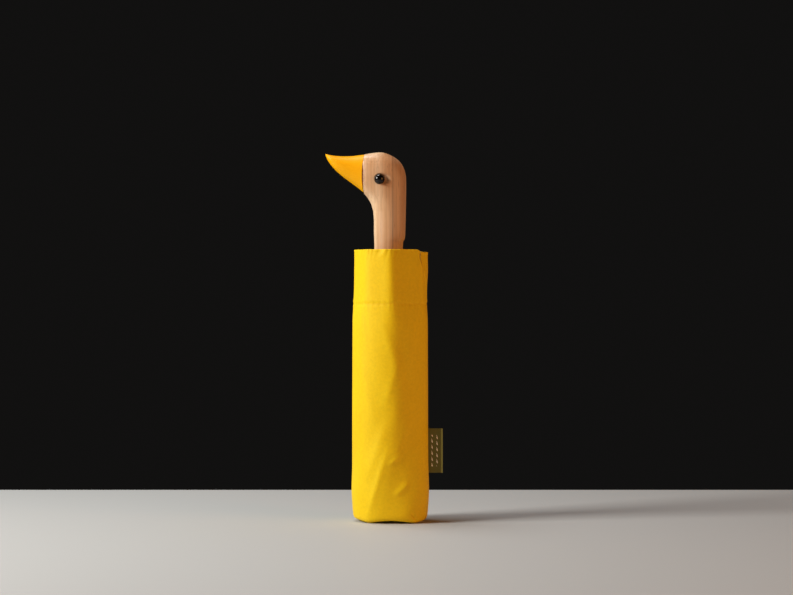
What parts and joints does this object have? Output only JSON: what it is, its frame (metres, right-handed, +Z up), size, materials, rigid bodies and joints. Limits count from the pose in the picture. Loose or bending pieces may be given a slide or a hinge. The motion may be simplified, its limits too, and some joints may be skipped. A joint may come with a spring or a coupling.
{
  "type": "children's folding umbrella in its sleeve",
  "caption": "Compact three-fold umbrella in a yellow fabric sleeve, with a carved wooden bird-head handle; it draws out, opens and telescopes.",
  "frame": {"origin": "centre of the sleeve's flat foot, on the shaft's axis", "axes": "+Z up the shaft towards the handle; -X the way the beak points; +X the sleeve's seam with the tab"},
  "size_m": [0.107, 0.0614, 0.3398],
  "materials": {
    "sleeve_cloth": "plain-woven yellow polyester",
    "label_ribbon": "woven ribbon",
    "canopy_cloth": "yellow pongee, water-repellent",
    "black_plastic": "moulded",
    "shaft_steel": "plated steel tube",
    "spring_steel": "spring steel",
    "rib_steel": "black-lacquered pressed steel",
    "handle_wood": "satin-lacquered beech",
    "beak_paint": "orange-yellow painted wood",
    "eye_bead": "glossy black bead"
  },
  "bodies": {
    "sleeve": {"sleeve": "sleeve_cloth", "label": "label_ribbon"},
    "umbrella": {"outer_tube": "shaft_steel", "crown": "black_plastic", "top_cap": "black_plastic", "canopy_furled": "canopy_cloth", "tie_strap": "canopy_cloth"},
    "middle_tube": {"middle_tube": "shaft_steel", "middle_catch": "spring_steel"},
    "handle": {"inner_tube": "shaft_steel", "inner_catch": "spring_steel", "handle_collar": "black_plastic", "head_and_neck": "handle_wood", "beak": "beak_paint", "eyes": "eye_bead"},
    "runner": {"runner": "black_plastic"},
    "runner_catch": {"runner_catch": "spring_steel"},
    "rib_inner_1": {"rib_inner_1": "rib_steel"},
    "rib_middle_1": {"rib_middle_1": "rib_steel"},
    "rib_outer_1": {"rib_outer_1": "rib_steel"},
    "stretcher_1": {"stretcher_1": "rib_steel"},
    "cloth_inner_1": {"cloth_inner_1": "canopy_cloth"},
    "cloth_middle_1": {"cloth_middle_1": "canopy_cloth"},
    "cloth_outer_1": {"cloth_outer_1": "canopy_cloth"},
    "rib_inner_2": {"rib_inner_2": "rib_steel"},
    "rib_middle_2": {"rib_middle_2": "rib_steel"},
    "rib_outer_2": {"rib_outer_2": "rib_steel"},
    "stretcher_2": {"stretcher_2": "rib_steel"},
    "cloth_inner_2": {"cloth_inner_2": "canopy_cloth"},
    "cloth_middle_2": {"cloth_middle_2": "canopy_cloth"},
    "cloth_outer_2": {"cloth_outer_2": "canopy_cloth"},
    "rib_inner_3": {"rib_inner_3": "rib_steel"},
    "rib_middle_3": {"rib_middle_3": "rib_steel"},
    "rib_outer_3": {"rib_outer_3": "rib_steel"},
    "stretcher_3": {"stretcher_3": "rib_steel"},
    "cloth_inner_3": {"cloth_inner_3": "canopy_cloth"},
    "cloth_middle_3": {"cloth_middle_3": "canopy_cloth"},
    "cloth_outer_3": {"cloth_outer_3": "canopy_cloth"},
    "rib_inner_4": {"rib_inner_4": "rib_steel"},
    "rib_middle_4": {"rib_middle_4": "rib_steel"},
    "rib_outer_4": {"rib_outer_4": "rib_steel"},
    "stretcher_4": {"stretcher_4": "rib_steel"},
    "cloth_inner_4": {"cloth_inner_4": "canopy_cloth"},
    "cloth_middle_4": {"cloth_middle_4": "canopy_cloth"},
    "cloth_outer_4": {"cloth_outer_4": "canopy_cloth"},
    "rib_inner_5": {"rib_inner_5": "rib_steel"},
    "rib_middle_5": {"rib_middle_5": "rib_steel"},
    "rib_outer_5": {"rib_outer_5": "rib_steel"},
    "stretcher_5": {"stretcher_5": "rib_steel"},
    "cloth_inner_5": {"cloth_inner_5": "canopy_cloth"},
    "cloth_middle_5": {"cloth_middle_5": "canopy_cloth"},
    "cloth_outer_5": {"cloth_outer_5": "canopy_cloth"},
    "rib_inner_6": {"rib_inner_6": "rib_steel"},
    "rib_middle_6": {"rib_middle_6": "rib_steel"},
    "rib_outer_6": {"rib_outer_6": "rib_steel"},
    "stretcher_6": {"stretcher_6": "rib_steel"},
    "cloth_inner_6": {"cloth_inner_6": "canopy_cloth"},
    "cloth_middle_6": {"cloth_middle_6": "canopy_cloth"},
    "cloth_outer_6": {"cloth_outer_6": "canopy_cloth"}
  },
  "joints": [
    {"name": "take_out_and_open", "type": "slide", "parent": "sleeve", "child": "umbrella", "axis": [0, 0, 1], "range_m": [0, 0.4], "deforming": ["sleeve", "canopy_furled", "tie_strap"]},
    {"name": "middle_tube_slide", "type": "slide", "parent": "umbrella", "child": "middle_tube", "axis": [0, 0, 1], "range_m": [0, 0.09697]},
    {"name": "handle_slide", "type": "slide", "parent": "middle_tube", "child": "handle", "axis": [0, 0, 1], "range_m": [0, 0.07847]},
    {"name": "runner_slide", "type": "slide", "parent": "umbrella", "child": "runner", "axis": [0, 0, 1], "range_m": [-0.10607, 0]},
    {"name": "runner_catch_press", "type": "slide", "parent": "umbrella", "child": "runner_catch", "axis": [0.866, 0.5, 0], "range_m": [-0.0016, 0], "stiffness_N_per_m": 400, "springref_m": 0.001},
    {"name": "crown_hinge_1", "type": "hinge", "parent": "umbrella", "child": "rib_inner_1", "pos_m": [0.0104, 0, 0.022], "axis": [0, 1, 0], "range_deg": [0, 80]},
    {"name": "first_joint_1", "type": "hinge", "parent": "rib_inner_1", "child": "rib_middle_1", "pos_m": [0.0142, 0, 0.172], "axis": [0, 1, 0], "range_deg": [-190, 0]},
    {"name": "second_joint_1", "type": "hinge", "parent": "rib_middle_1", "child": "rib_outer_1", "pos_m": [0.0178, 0, 0.03], "axis": [0, 1, 0], "range_deg": [0, 168]},
    {"name": "stretcher_hinge_1", "type": "hinge", "parent": "runner", "child": "stretcher_1", "pos_m": [0.0104, 0, 0.181], "axis": [0, 1, 0], "range_deg": [-61.57, 0]},
    {"name": "spread_inner_1", "type": "hinge", "parent": "rib_inner_1", "child": "cloth_inner_1", "pos_m": [0.03026, 0, 0.00794], "axis": [-0.9848, 0, 0.1736], "range_deg": [0, 60]},
    {"name": "spread_middle_1", "type": "hinge", "parent": "rib_middle_1", "child": "cloth_middle_1", "pos_m": [0.02687, 0, 0.33636], "axis": [0.9397, 0, -0.342], "range_deg": [0, 60]},
    {"name": "spread_outer_1", "type": "hinge", "parent": "rib_outer_1", "child": "cloth_outer_1", "pos_m": [-0.05477, 0, -0.26778], "axis": [-0.848, 0, 0.5299], "range_deg": [0, 60]},
    {"name": "crown_hinge_2", "type": "hinge", "parent": "umbrella", "child": "rib_inner_2", "pos_m": [0.0052, 0.00901, 0.022], "axis": [-0.866, 0.5, 0], "range_deg": [0, 80]},
    {"name": "first_joint_2", "type": "hinge", "parent": "rib_inner_2", "child": "rib_middle_2", "pos_m": [0.0071, 0.0123, 0.172], "axis": [-0.866, 0.5, 0], "range_deg": [-190, 0]},
    {"name": "second_joint_2", "type": "hinge", "parent": "rib_middle_2", "child": "rib_outer_2", "pos_m": [0.0089, 0.01541, 0.03], "axis": [-0.866, 0.5, 0], "range_deg": [0, 168]},
    {"name": "stretcher_hinge_2", "type": "hinge", "parent": "runner", "child": "stretcher_2", "pos_m": [0.0052, 0.00901, 0.181], "axis": [-0.866, 0.5, 0], "range_deg": [-61.57, 0]},
    {"name": "spread_inner_2", "type": "hinge", "parent": "rib_inner_2", "child": "cloth_inner_2", "pos_m": [0.01513, 0.02621, 0.00794], "axis": [-0.4924, -0.8529, 0.1736], "range_deg": [0, 60]},
    {"name": "spread_middle_2", "type": "hinge", "parent": "rib_middle_2", "child": "cloth_middle_2", "pos_m": [0.01344, 0.02327, 0.33636], "axis": [0.4698, 0.8138, -0.342], "range_deg": [0, 60]},
    {"name": "spread_outer_2", "type": "hinge", "parent": "rib_outer_2", "child": "cloth_outer_2", "pos_m": [-0.02739, -0.04743, -0.26778], "axis": [-0.424, -0.7344, 0.5299], "range_deg": [0, 60]},
    {"name": "crown_hinge_3", "type": "hinge", "parent": "umbrella", "child": "rib_inner_3", "pos_m": [-0.0052, 0.00901, 0.022], "axis": [-0.866, -0.5, 0], "range_deg": [0, 80]},
    {"name": "first_joint_3", "type": "hinge", "parent": "rib_inner_3", "child": "rib_middle_3", "pos_m": [-0.0071, 0.0123, 0.172], "axis": [-0.866, -0.5, 0], "range_deg": [-190, 0]},
    {"name": "second_joint_3", "type": "hinge", "parent": "rib_middle_3", "child": "rib_outer_3", "pos_m": [-0.0089, 0.01541, 0.03], "axis": [-0.866, -0.5, 0], "range_deg": [0, 168]},
    {"name": "stretcher_hinge_3", "type": "hinge", "parent": "runner", "child": "stretcher_3", "pos_m": [-0.0052, 0.00901, 0.181], "axis": [-0.866, -0.5, 0], "range_deg": [-61.57, 0]},
    {"name": "spread_inner_3", "type": "hinge", "parent": "rib_inner_3", "child": "cloth_inner_3", "pos_m": [-0.01513, 0.02621, 0.00794], "axis": [0.4924, -0.8529, 0.1736], "range_deg": [0, 60]},
    {"name": "spread_middle_3", "type": "hinge", "parent": "rib_middle_3", "child": "cloth_middle_3", "pos_m": [-0.01344, 0.02327, 0.33636], "axis": [-0.4698, 0.8138, -0.342], "range_deg": [0, 60]},
    {"name": "spread_outer_3", "type": "hinge", "parent": "rib_outer_3", "child": "cloth_outer_3", "pos_m": [0.02739, -0.04743, -0.26778], "axis": [0.424, -0.7344, 0.5299], "range_deg": [0, 60]},
    {"name": "crown_hinge_4", "type": "hinge", "parent": "umbrella", "child": "rib_inner_4", "pos_m": [-0.0104, 0, 0.022], "axis": [0, -1, 0], "range_deg": [0, 80]},
    {"name": "first_joint_4", "type": "hinge", "parent": "rib_inner_4", "child": "rib_middle_4", "pos_m": [-0.0142, 0, 0.172], "axis": [0, -1, 0], "range_deg": [-190, 0]},
    {"name": "second_joint_4", "type": "hinge", "parent": "rib_middle_4", "child": "rib_outer_4", "pos_m": [-0.0178, 0, 0.03], "axis": [0, -1, 0], "range_deg": [0, 168]},
    {"name": "stretcher_hinge_4", "type": "hinge", "parent": "runner", "child": "stretcher_4", "pos_m": [-0.0104, 0, 0.181], "axis": [0, -1, 0], "range_deg": [-61.57, 0]},
    {"name": "spread_inner_4", "type": "hinge", "parent": "rib_inner_4", "child": "cloth_inner_4", "pos_m": [-0.03026, 0, 0.00794], "axis": [0.9848, 0, 0.1736], "range_deg": [0, 60]},
    {"name": "spread_middle_4", "type": "hinge", "parent": "rib_middle_4", "child": "cloth_middle_4", "pos_m": [-0.02687, 0, 0.33636], "axis": [-0.9397, 0, -0.342], "range_deg": [0, 60]},
    {"name": "spread_outer_4", "type": "hinge", "parent": "rib_outer_4", "child": "cloth_outer_4", "pos_m": [0.05477, 0, -0.26778], "axis": [0.848, 0, 0.5299], "range_deg": [0, 60]},
    {"name": "crown_hinge_5", "type": "hinge", "parent": "umbrella", "child": "rib_inner_5", "pos_m": [-0.0052, -0.00901, 0.022], "axis": [0.866, -0.5, 0], "range_deg": [0, 80]},
    {"name": "first_joint_5", "type": "hinge", "parent": "rib_inner_5", "child": "rib_middle_5", "pos_m": [-0.0071, -0.0123, 0.172], "axis": [0.866, -0.5, 0], "range_deg": [-190, 0]},
    {"name": "second_joint_5", "type": "hinge", "parent": "rib_middle_5", "child": "rib_outer_5", "pos_m": [-0.0089, -0.01541, 0.03], "axis": [0.866, -0.5, 0], "range_deg": [0, 168]},
    {"name": "stretcher_hinge_5", "type": "hinge", "parent": "runner", "child": "stretcher_5", "pos_m": [-0.0052, -0.00901, 0.181], "axis": [0.866, -0.5, 0], "range_deg": [-61.57, 0]},
    {"name": "spread_inner_5", "type": "hinge", "parent": "rib_inner_5", "child": "cloth_inner_5", "pos_m": [-0.01513, -0.02621, 0.00794], "axis": [0.4924, 0.8529, 0.1736], "range_deg": [0, 60]},
    {"name": "spread_middle_5", "type": "hinge", "parent": "rib_middle_5", "child": "cloth_middle_5", "pos_m": [-0.01344, -0.02327, 0.33636], "axis": [-0.4698, -0.8138, -0.342], "range_deg": [0, 60]},
    {"name": "spread_outer_5", "type": "hinge", "parent": "rib_outer_5", "child": "cloth_outer_5", "pos_m": [0.02739, 0.04743, -0.26778], "axis": [0.424, 0.7344, 0.5299], "range_deg": [0, 60]},
    {"name": "crown_hinge_6", "type": "hinge", "parent": "umbrella", "child": "rib_inner_6", "pos_m": [0.0052, -0.00901, 0.022], "axis": [0.866, 0.5, 0], "range_deg": [0, 80]},
    {"name": "first_joint_6", "type": "hinge", "parent": "rib_inner_6", "child": "rib_middle_6", "pos_m": [0.0071, -0.0123, 0.172], "axis": [0.866, 0.5, 0], "range_deg": [-190, 0]},
    {"name": "second_joint_6", "type": "hinge", "parent": "rib_middle_6", "child": "rib_outer_6", "pos_m": [0.0089, -0.01541, 0.03], "axis": [0.866, 0.5, 0], "range_deg": [0, 168]},
    {"name": "stretcher_hinge_6", "type": "hinge", "parent": "runner", "child": "stretcher_6", "pos_m": [0.0052, -0.00901, 0.181], "axis": [0.866, 0.5, 0], "range_deg": [-61.57, 0]},
    {"name": "spread_inner_6", "type": "hinge", "parent": "rib_inner_6", "child": "cloth_inner_6", "pos_m": [0.01513, -0.02621, 0.00794], "axis": [-0.4924, 0.8529, 0.1736], "range_deg": [0, 60]},
    {"name": "spread_middle_6", "type": "hinge", "parent": "rib_middle_6", "child": "cloth_middle_6", "pos_m": [0.01344, -0.02327, 0.33636], "axis": [0.4698, -0.8138, -0.342], "range_deg": [0, 60]},
    {"name": "spread_outer_6", "type": "hinge", "parent": "rib_outer_6", "child": "cloth_outer_6", "pos_m": [-0.02739, 0.04743, -0.26778], "axis": [-0.424, 0.7344, 0.5299], "range_deg": [0, 60]}
  ],
  "couplings": [
    {"joint": "runner_slide", "follows": "take_out_and_open", "ratio": -0.26492},
    {"joint": "crown_hinge_1", "follows": "take_out_and_open", "rad_per_m": 3.4907},
    {"joint": "first_joint_1", "follows": "take_out_and_open", "rad_per_m": -8.2903},
    {"joint": "second_joint_1", "follows": "take_out_and_open", "rad_per_m": 7.3304},
    {"joint": "stretcher_hinge_1", "follows": "take_out_and_open", "rad_per_m": -2.6859},
    {"joint": "spread_inner_1", "follows": "take_out_and_open", "rad_per_m": 2.618},
    {"joint": "spread_middle_1", "follows": "take_out_and_open", "rad_per_m": 2.618},
    {"joint": "spread_outer_1", "follows": "take_out_and_open", "rad_per_m": 2.618},
    {"joint": "crown_hinge_2", "follows": "take_out_and_open", "rad_per_m": 3.4907},
    {"joint": "first_joint_2", "follows": "take_out_and_open", "rad_per_m": -8.2903},
    {"joint": "second_joint_2", "follows": "take_out_and_open", "rad_per_m": 7.3304},
    {"joint": "stretcher_hinge_2", "follows": "take_out_and_open", "rad_per_m": -2.6859},
    {"joint": "spread_inner_2", "follows": "take_out_and_open", "rad_per_m": 2.618},
    {"joint": "spread_middle_2", "follows": "take_out_and_open", "rad_per_m": 2.618},
    {"joint": "spread_outer_2", "follows": "take_out_and_open", "rad_per_m": 2.618},
    {"joint": "crown_hinge_3", "follows": "take_out_and_open", "rad_per_m": 3.4907},
    {"joint": "first_joint_3", "follows": "take_out_and_open", "rad_per_m": -8.2903},
    {"joint": "second_joint_3", "follows": "take_out_and_open", "rad_per_m": 7.3304},
    {"joint": "stretcher_hinge_3", "follows": "take_out_and_open", "rad_per_m": -2.6859},
    {"joint": "spread_inner_3", "follows": "take_out_and_open", "rad_per_m": 2.618},
    {"joint": "spread_middle_3", "follows": "take_out_and_open", "rad_per_m": 2.618},
    {"joint": "spread_outer_3", "follows": "take_out_and_open", "rad_per_m": 2.618},
    {"joint": "crown_hinge_4", "follows": "take_out_and_open", "rad_per_m": 3.4907},
    {"joint": "first_joint_4", "follows": "take_out_and_open", "rad_per_m": -8.2903},
    {"joint": "second_joint_4", "follows": "take_out_and_open", "rad_per_m": 7.3304},
    {"joint": "stretcher_hinge_4", "follows": "take_out_and_open", "rad_per_m": -2.6859},
    {"joint": "spread_inner_4", "follows": "take_out_and_open", "rad_per_m": 2.618},
    {"joint": "spread_middle_4", "follows": "take_out_and_open", "rad_per_m": 2.618},
    {"joint": "spread_outer_4", "follows": "take_out_and_open", "rad_per_m": 2.618},
    {"joint": "crown_hinge_5", "follows": "take_out_and_open", "rad_per_m": 3.4907},
    {"joint": "first_joint_5", "follows": "take_out_and_open", "rad_per_m": -8.2903},
    {"joint": "second_joint_5", "follows": "take_out_and_open", "rad_per_m": 7.3304},
    {"joint": "stretcher_hinge_5", "follows": "take_out_and_open", "rad_per_m": -2.6859},
    {"joint": "spread_inner_5", "follows": "take_out_and_open", "rad_per_m": 2.618},
    {"joint": "spread_middle_5", "follows": "take_out_and_open", "rad_per_m": 2.618},
    {"joint": "spread_outer_5", "follows": "take_out_and_open", "rad_per_m": 2.618},
    {"joint": "crown_hinge_6", "follows": "take_out_and_open", "rad_per_m": 3.4907},
    {"joint": "first_joint_6", "follows": "take_out_and_open", "rad_per_m": -8.2903},
    {"joint": "second_joint_6", "follows": "take_out_and_open", "rad_per_m": 7.3304},
    {"joint": "stretcher_hinge_6", "follows": "take_out_and_open", "rad_per_m": -2.6859},
    {"joint": "spread_inner_6", "follows": "take_out_and_open", "rad_per_m": 2.618},
    {"joint": "spread_middle_6", "follows": "take_out_and_open", "rad_per_m": 2.618},
    {"joint": "spread_outer_6", "follows": "take_out_and_open", "rad_per_m": 2.618}
  ]
}
